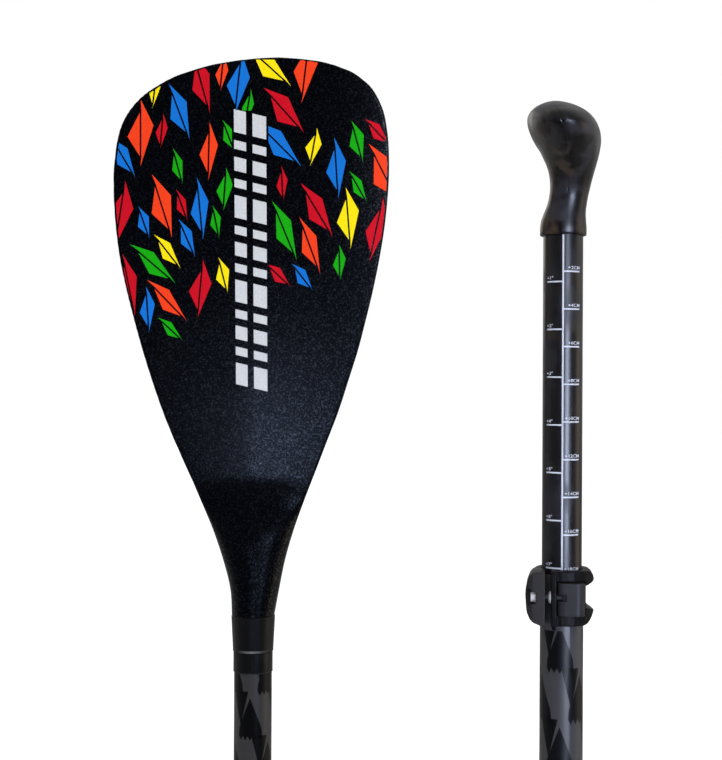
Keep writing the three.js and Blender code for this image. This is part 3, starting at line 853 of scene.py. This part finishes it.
def make_stripe():
    triangles = []
    foot = STRIPE_FOOT
    gaps = STRIPE_GAP * (len(STRIPE_BLOCKS) - 1)
    scale = (STRIPE_TOP - STRIPE_FOOT - gaps) / sum(STRIPE_BLOCKS)
    slope = STRIPE_SLANT / (2 * STRIPE_HALF)
    for block in STRIPE_BLOCKS:
        top = foot + block * scale
        for left, right in ((-STRIPE_HALF, STRIPE_SLIT[0]), (STRIPE_SLIT[1], STRIPE_HALF)):
            corners = [(left, foot), (right, foot), (right, top), (left, top)]
            triangles += triangles_of([(STRIPE_MIDDLE + u, v - slope * u) for u, v in corners])
        foot = top + STRIPE_GAP
    printed_on_blade("white", triangles, finishes["white"])


# Sleeve and band at the neck, each with a lip at its foot that carries a painted highlight

SLEEVE_TAPER = 1.05
SLEEVE_FLARE = (0.05, 0.8)
SLEEVE_SHOULDER = (0.25, 0.5)
SLEEVE_FILLET = 0.5
BAND_FILLET = 0.25
# How far a lip reaches in and stands out, its foot and top above its owner's foot, and its fillet
SLEEVE_LIP = (0.5, 0.12, 0.1, 1.5, 0.06)
BAND_LIP = (0.5, 0.06, 0.05, 0.6, 0.05)


def neck_ring(name, profile, finish, fillet, stands_for=()):
    turned(
        name, profile, at_blade, finishes[finish], "blade_section", stands_for,
        fillet=fillet)


def make_lip(name, radius, foot, form, finish):
    reach_in, stand_out, low, high, fillet = form
    profile = ring_profile(radius - reach_in, radius + stand_out, foot + low, foot + high)
    neck_ring(name, profile, finish, fillet)


def make_sleeve():
    low, high = (corner.z for corner in box_mm("neck_sleeve"))
    inner, outer = radii("neck_sleeve")
    foot_radius = outer - SLEEVE_TAPER
    neck_ring("sleeve_skin", [
        (inner, low), (foot_radius, low), (foot_radius + SLEEVE_FLARE[0], low + SLEEVE_FLARE[1]),
        (outer, high - SLEEVE_SHOULDER[1]), (outer - SLEEVE_SHOULDER[0], high), (inner, high),
    ], "sleeve", SLEEVE_FILLET, ("neck_sleeve",))
    make_lip("sleeve_lip", foot_radius, low, SLEEVE_LIP, "edge")
    make_lip("band_lip", radii("neck_band")[1], box_mm("neck_band")[0].z, BAND_LIP, "faint_painted_highlight")
    neck_ring("band_skin", tube_profile("neck_band"), "sleeve", BAND_FILLET, ("neck_band",))


# Shafts with tone-on-tone facets

PRINT_LIFT = 0.03
FACET_COLUMNS = 6
FACET_PITCH = 54.0
FACET_SHIFT = -0.8
FACET_TEETH = 5
FACET_TOOTH = 2.7
TALL_HALF, TALL_HEIGHT = 7.6, 23.0
TALL_WAIST = (0.95, 0.2)
SHORT_HALF, SHORT_HEIGHT = 5.2, 21.0
LOWER_BASE = 384.0
UPPER_BASE = 447.5
# Bare shaft below and above the facets
LOWER_BARE = (0.5, 0.2)
UPPER_BARE = (0.2, 3.4)


def tall_facet(centre, base):
    """Pointed upper end over a toothed base, in arc length and height."""
    teeth = []
    for i in range(FACET_TEETH):
        left = centre + TALL_HALF * (2 * i / FACET_TEETH - 1)
        teeth += [(left, base), (left + TALL_HALF / FACET_TEETH, base - FACET_TOOTH)]
    half, waist = TALL_HALF * TALL_WAIST[0], base + TALL_HEIGHT * TALL_WAIST[1]
    return [*teeth, (centre + TALL_HALF, base), (centre + half, waist),
            (centre, base + TALL_HEIGHT), (centre - half, waist)]


def short_facet(centre, top):
    return [(centre, top - SHORT_HEIGHT), (centre + SHORT_HALF, top), (centre - SHORT_HALF, top)]


def make_facets(name, radius, place, foot, top, body, first_base):
    """Facets between two heights; the first column's bases lie whole pitches from first_base."""
    around = 2 * math.pi * radius
    column_width = around / FACET_COLUMNS
    triangles = []
    for column in range(FACET_COLUMNS):
        base = first_base - column % 2 * FACET_PITCH / 2
        base += FACET_PITCH * math.ceil((top + SHORT_HEIGHT - base) / FACET_PITCH)
        centre = FACET_SHIFT + column * column_width
        while base > foot - TALL_HEIGHT:
            for outline in (tall_facet(centre, base), short_facet(centre + column_width / 2, base)):
                for triangle in triangles_of(outline):
                    part = clipped(list(triangle), 1, foot, top)
                    if len(part) > 2:
                        triangles.append(part)
            base -= FACET_PITCH
    printed(
        name, triangles, lambda arc, z: place(*around_axis(radius + PRINT_LIFT, arc, z)),
        finishes["facet"], body, (around / SIDES, UNCUT))


def make_shafts():
    radius = radii("lower_shaft")[1]
    turned(
        "lower_shaft_skin", tube_profile("lower_shaft"), at_blade, finishes["shaft"],
        "blade_section", ("lower_shaft",))
    foot, top = box_mm("lower_shaft")[0].z, box_mm("neck_band")[0].z
    make_facets(
        "lower_shaft_facets", radius, at_blade, foot + LOWER_BARE[0], top - LOWER_BARE[1],
        "blade_section", LOWER_BASE)
    foot, top = box_mm("socket_ring")[1].z, box_mm("clamp_collar")[0].z
    make_facets(
        "upper_shaft_facets", radius, at_handle, foot + UPPER_BARE[0], top - UPPER_BARE[1],
        "handle_section", UPPER_BASE)


# Extension tube and its printed scale: centimetres on the right, inches on the left

TUBE_SIDES = 128
SCALE_LINE = 0.1
SCALE_WIDTH = 0.9
SCALE_ZERO = -0.2
SCALE_FOOT = 6
SCALE_TOP = 0.3
SCALE_STEP = (0.35, UNCUT)
TICK_HEIGHT = 0.8
CENTIMETRE = 10.0
INCH = 25.4
CM_TICKS = range(2, 26, 2)
INCH_TICKS = range(1, 11)
CM_END = 10.1
INCH_END = -9.5
TEXT_SIZE = 2.4
TEXT_STRETCH = 1.24
TEXT_WEIGHT = 0.012
TEXT_RISE = 0.75


def glyphs(text):
    """Triangles of a line of text, from its lower left corner, with its width."""
    data = bpy.data.curves.new("text", "FONT")
    data.body = text
    data.size = TEXT_SIZE
    data.offset = TEXT_WEIGHT * TEXT_SIZE
    made = bpy.data.objects.new("text", data)
    bpy.context.scene.collection.objects.link(made)
    bpy.context.view_layer.update()
    graph = bpy.context.evaluated_depsgraph_get()
    mesh = made.evaluated_get(graph).to_mesh()
    mesh.calc_loop_triangles()
    points = [(vertex.co.x * TEXT_STRETCH, vertex.co.y) for vertex in mesh.vertices]
    low = min(u for u, v in points)
    triangles = []
    for corners in mesh.loop_triangles:
        for triangle in counterclockwise([points[i] for i in corners.vertices], 1e-7):
            triangles.append([(u - low, v) for u, v in triangle])
    made.evaluated_get(graph).to_mesh_clear()
    bpy.data.objects.remove(made)
    return triangles, max(u for u, v in points) - low


def make_tube():
    radius = radii("extension_tube")[1] + PRINT_LIFT
    grip_foot = box_mm("grip_palm_shell")[0].z
    turned(
        "extension_skin", tube_profile("extension_tube"), at_handle, finishes["tube"],
        "extension", ("extension_tube",), TUBE_SIDES)
    zero = grip_foot - SCALE_ZERO
    foot = box_mm("extension_tube")[0].z + SCALE_FOOT
    half_width, half_height = SCALE_WIDTH / 2, TICK_HEIGHT / 2
    triangles = rectangle(
        SCALE_LINE - half_width, SCALE_LINE + half_width, foot, grip_foot - SCALE_TOP)
    marks = [(zero - n * CENTIMETRE, SCALE_LINE, CM_END, f"+{n}CM", True) for n in CM_TICKS]
    marks += [(zero - n * INCH, INCH_END, SCALE_LINE, f"+{n}\"", False) for n in INCH_TICKS]
    for height, left, right, label, on_right in marks:
        if height < foot:
            continue
        triangles += rectangle(left, right, height - half_height, height + half_height)
        letters, width = glyphs(label)
        start = right - width if on_right else left
        line = height + half_height + TEXT_RISE
        for triangle in letters:
            triangles.append([(u + start, v + line) for u, v in triangle])
    printed(
        "printed_scale", triangles, lambda arc, z: at_handle(*around_axis(radius, arc, z)),
        finishes["scale"], "extension", SCALE_STEP)


# Grip: a palm knob by height, its two shells parted by a groove

GRIP_HALF_SPREAD = 41
GRIP_HALF_DEPTH = 20
GRIP_SIDES = 144
GRIP_STEPS = 7
BORE_CLEAR = 0.1
BORE_LEVELS = (3.0, 0.4, 0.0)
FOOT_ROUND = 0.55
FOOT_STEPS = (0.55, 0.22, 0.0)
FOOT_CLEAR = 1.2
LEAST_HALF = 0.02
SEAM_SHIFT = 2.2
SEAM_GAP = 0.06
GROOVE_WIDTH = 1.1
GROOVE_DEPTH = 0.4
GROOVE_CUTS = (0.3, 0.5, 0.75, 1.0)
GROOVE_LOWEST = 0.5
GROOVE_FOOT = (0.28, 0.38)
GROOVE_TOP = (0.84, 0.94)
AXIS_CLEAR = 1
# Height, front, back and half spread, as shares of the height, the half depth and the half spread
GRIP_SHARES = [
    (0, -0.62, 0.62, 0.3), (0.05, -0.622, 0.622, 0.303), (0.11, -0.596, 0.606, 0.295),
    (0.17, -0.522, 0.597, 0.28), (0.23, -0.439, 0.619, 0.268), (0.29, -0.385, 0.654, 0.266),
    (0.35, -0.358, 0.702, 0.29), (0.41, -0.361, 0.753, 0.35), (0.47, -0.39, 0.812, 0.45),
    (0.53, -0.452, 0.872, 0.58), (0.59, -0.546, 0.928, 0.73), (0.65, -0.648, 0.971, 0.86),
    (0.71, -0.78, 0.993, 0.96), (0.77, -0.888, 0.966, 1), (0.83, -0.96, 0.882, 0.94),
    (0.89, -0.965, 0.72, 0.78), (0.935, -0.86, 0.5, 0.6), (0.97, -0.68, 0.24, 0.4),
    (0.99, -0.5, 0.0, 0.24), (1, -0.26, -0.26, 0),
]
SEAM_LEAN = [(-0.1, 0), (0.5, 0), (0.64, -0.04), (0.78, -0.18), (0.9, -0.36), (1.1, -0.6)]


def seam_at(share):
    shares, leans = zip(*SEAM_LEAN)
    return SEAM_SHIFT + float(np.interp(share, shares, leans)) * GRIP_HALF_DEPTH


def oval(centre, depth, spread, z):
    """Level ring of the grip, by its half depth and half spread."""
    return [
        (centre + depth * math.cos(angle), spread * math.sin(angle), z)
        for angle in np.linspace(0, 2 * math.pi, GRIP_SIDES, endpoint=False)
    ]


def grip_rings(height):
    """Rings from inside the bore, round the foot and up to the top."""
    bore = radii("extension_tube")[1] + BORE_CLEAR
    rings = [oval(0, bore, bore, z) for z in BORE_LEVELS]
    rows = spline([
        (share * height, left * GRIP_HALF_DEPTH, right * GRIP_HALF_DEPTH, spread * GRIP_HALF_SPREAD)
        for share, left, right, spread in GRIP_SHARES
    ], GRIP_STEPS)
    _, left, right, spread = rows[0]
    for inset in FOOT_STEPS:
        drop = math.sqrt(FOOT_ROUND ** 2 - (FOOT_ROUND - inset) ** 2) if inset else 0
        depth = (right - left) / 2 - inset
        rings.append(oval((left + right) / 2, depth, spread - inset, FOOT_ROUND - drop))
    for z, left, right, spread in rows:
        if z >= FOOT_CLEAR:
            depth, spread = max(LEAST_HALF, (right - left) / 2), max(LEAST_HALF, spread)
            rings.append(oval((left + right) / 2, depth, spread, min(z, height)))
    return rings


def make_shell(name, rings, direction, height, foot, source):
    """The part of the grip on one side of its seam, which lies at X = 0 while it is cut."""
    bm = bmesh.new()
    levels = [[bm.verts.new((x - seam_at(z / height), y, z)) for x, y, z in ring] for ring in rings]
    for low, high in zip(levels, levels[1:]):
        for i in range(GRIP_SIDES):
            j = (i + 1) % GRIP_SIDES
            bm.faces.new((low[i], low[j], high[j], high[i]))
    for offset in (SEAM_GAP / 2, *GROOVE_CUTS, GROOVE_WIDTH):
        bmesh.ops.bisect_plane(
            bm, geom=bm.verts[:] + bm.edges[:] + bm.faces[:], dist=1e-5,
            plane_co=(offset * direction, 0, 0), plane_no=(-direction, 0, 0),
            clear_outer=offset == SEAM_GAP / 2)
    for vert in bm.verts:
        share = 1 - abs(vert.co.x) / GROOVE_WIDTH
        away = Vector((vert.co.x, vert.co.y, 0))
        if share > 0 and vert.co.z > GROOVE_LOWEST and away.length > AXIS_CLEAR:
            along = vert.co.z / height
            foot_fade = eased((along - GROOVE_FOOT[0]) / (GROOVE_FOOT[1] - GROOVE_FOOT[0]))
            top_fade = eased((GROOVE_TOP[1] - along) / (GROOVE_TOP[1] - GROOVE_TOP[0]))
            vert.co -= away.normalized() * GROOVE_DEPTH * share ** 2 * foot_fade * top_fade
    bmesh.ops.recalc_face_normals(bm, faces=bm.faces)
    for vert in bm.verts:
        vert.co = at_handle(vert.co.x + seam_at(vert.co.z / height), vert.co.y, vert.co.z + foot)
    mesh = bpy.data.meshes.new(name)
    bm.to_mesh(mesh)
    bm.free()
    dressed(name, mesh, finishes["grip"], "extension", (source,), GRIP_SHARP)


def make_grip():
    palm_low, palm_high = box_mm("grip_palm_shell")
    finger_low, finger_high = box_mm("grip_finger_shell")
    foot = min(palm_low.z, finger_low.z)
    height = max(palm_high.z, finger_high.z) - foot
    rings = grip_rings(height)
    make_shell("palm_skin", rings, 1, height, foot, "grip_palm_shell")
    make_shell("finger_skin", rings, -1, height, foot, "grip_finger_shell")


# Clamp and small parts

# New name, finish, body, slot, voxel and rounds of smoothing
SOFTENED = {
    "clamp_collar": ("collar_skin", "collar", "handle_section", "nylon", 0.25, 9),
    "clamp_lever": ("lever_skin", "lever", "lever", "lever", 0.22, 8),
}
# Finish, body, slot and bevel
SMOOTHED = {
    "upper_shaft": ("shaft", "handle_section", "shaft", 0.3),
    "socket_ring": ("nylon", "handle_section", "nylon", 0.4),
    "clamp_screw": ("screw_steel", "tension_screw", "steel", 0.2),
    "cup_washer": ("steel", "handle_section", "steel", 0.12),
    "screw_washer": ("steel", "handle_section", "steel", 0.12),
    "ferrule_spigot": ("tube", "blade_section", "tube", 0.3),
    "shaft_seal_ring": ("rubber", "blade_section", "rubber", 0.3),
    "spigot_plug": ("nylon", "blade_section", "nylon", 0.3),
    "snap_button": ("steel", "snap_catch", "steel", 0.2),
}
# Finish of each node that is shown as it is
CARRIED = {
    "neck_float_plug": "foam", "spigot_bulkhead": "foam", "snap_spring_seat": "steel",
    "snap_spring_leaf": "steel", "shaft_float_plug": "foam", "lever_pin": "dark_steel",
    "extension_glide": "nylon", "grip_core": "nylon",
}


def make_small_parts():
    for source, (name, finish, body, slot, voxel, rounds) in SOFTENED.items():
        softened(name, source, finishes[finish], body, voxel, rounds)
    for source, (finish, body, slot, bevel) in SMOOTHED.items():
        smoothed(source + "_skin", source, finishes[finish], body, bevel)
    for name, finish in CARRIED.items():
        mesh = nodes[name].data
        mesh.materials.clear()
        mesh.materials.append(finishes[finish])


# Stage: a pale floor that fades to white for the camera, and a white surround; gloss sees both of
# them dark in front of the object

FLOOR_HALF = 14.0
FLOOR_DROP = 0.0002
FLOOR_COLOUR = 0.8
FLOOR_ROUGHNESS = 0.9
FLOOR_MIRRORED = (0.04, 0.5)
FLOOR_TURN = (-0.7, 0.6)
FLOOR_LIFT = (0.35, 0.75)
FLOOR_FADE = (0.5, 2.0)
SURROUND_LIGHT = 0.42
SURROUND_MIRRORED = (0.03, 0.5)
SURROUND_TURN = (-0.7, 0.6)
WHITE = (1, 1, 1)


def make_floor():
    half = FLOOR_HALF
    turns = ((-half, -half), (half, -half), (half, half), (-half, half))
    corners = [(x, y, -FLOOR_DROP) for x, y in turns]
    mesh = bpy.data.meshes.new("floor")
    mesh.from_pydata(corners, [], [(0, 1, 2, 3)])
    floor = bpy.data.objects.new("floor", mesh)
    bpy.context.scene.collection.objects.link(floor)
    made, tree, shader = material("floor_paper", 0.0)
    shader.inputs["Roughness"].default_value = FLOOR_ROUGHNESS
    shader.inputs["Emission Color"].default_value = (*WHITE, 1)
    path = node(tree, "ShaderNodeLightPath").outputs
    place = node(tree, "ShaderNodeTexCoord").outputs["Object"]
    behind = ranged(tree, component(tree, place, "Y"), *FLOOR_MIRRORED, *FLOOR_TURN)
    tone = mixed_number(tree, path["Is Glossy Ray"], FLOOR_COLOUR, behind)
    grey = node(tree, "ShaderNodeCombineColor", {0: tone, 1: tone, 2: tone}).outputs[0]
    tree.links.new(grey, shader.inputs["Base Color"])
    away = node(tree, "ShaderNodeVectorMath", {0: place}, operation="LENGTH").outputs["Value"]
    lift = ranged(tree, away, *FLOOR_LIFT, *FLOOR_FADE)
    glow = calculated(tree, "MULTIPLY", lift, path["Is Camera Ray"])
    tree.links.new(glow, shader.inputs["Emission Strength"])
    mesh.materials.append(made)


def make_surround():
    world = bpy.data.worlds.new("surround")
    bpy.context.scene.world = world
    world.use_nodes = True
    tree = world.node_tree
    background = tree.nodes["Background"]
    background.inputs["Color"].default_value = (*WHITE, 1)
    path = node(tree, "ShaderNodeLightPath").outputs
    heading = component(tree, node(tree, "ShaderNodeTexCoord").outputs["Generated"], "Y")
    mirrored = ranged(tree, heading, *SURROUND_MIRRORED, *SURROUND_TURN)
    glossy = calculated(tree, "MAXIMUM", path["Is Glossy Ray"], path["Is Transmission Ray"])
    lit = mixed_number(tree, glossy, SURROUND_LIGHT, mirrored)
    strength = calculated(tree, "MAXIMUM", lit, path["Is Camera Ray"])
    tree.links.new(strength, background.inputs["Strength"])


# Soft lamps: place, target, size, power, colour, spread in degrees, and whether gloss shows them

LAVENDER = (0.66, 0.75, 1.0)
BLUE_GREY = (0.5, 0.64, 1.0)
WARM = (1.0, 0.8, 0.58)
WARM_WHITE = (1.0, 0.95, 0.88)
LAMPS = {
    "fill": ((0.1, -2.4, 1.5), (0.08, 0, 0.5), (1.4, 1.4), 41, WHITE, 180, False),
    "top": ((0.0, -0.3, 2.4), (0.08, 0, 0.4), (1.6, 1.6), 14, WHITE, 180, False),
    "handle_key": ((0.231, -0.275, 0.52), (0.174, -0.1, 0.52), (0.095, 0.8), 0.2, LAVENDER, 26, True),
    "blade_low": ((0.0, -1.0, 0.17), (0.005, 0, 0.585), (0.6, 0.08), 0.032, BLUE_GREY, 17, True),
    "neck_key": ((0.3, -0.62, 0.45), (0.0, 0, 0.45), (0.12, 0.5), 0.015, BLUE_GREY, 26, True),
    "back": ((-0.9, 1.9, 1.3), (0.08, 0, 0.5), (1.0, 1.0), 4, WARM_WHITE, 180, True),
    "right": ((1.3, -0.1, 0.55), (0.174, -0.1, 0.55), (0.6, 1.2), 0.3, WARM, 60, True),
}


def make_lamps():
    for name, (place, target, size, power, colour, spread, mirrored) in LAMPS.items():
        data = bpy.data.lights.new(name, "AREA")
        data.shape = "RECTANGLE"
        data.size, data.size_y = size
        data.energy = power
        data.color = colour
        data.spread = math.radians(spread)
        lamp = bpy.data.objects.new(name, data)
        lamp.location = place
        lamp.rotation_euler = (Vector(target) - Vector(place)).to_track_quat("-Z", "Y").to_euler()
        lamp.visible_camera = False
        lamp.visible_glossy = mirrored
        bpy.context.scene.collection.objects.link(lamp)


make_camera()
make_blade()
make_shards()
make_stripe()
make_sleeve()
make_shafts()
make_tube()
make_grip()
make_small_parts()
make_floor()
make_surround()
make_lamps()

bpy.context.scene.view_settings.view_transform = "Standard"
bpy.context.view_layer.update()
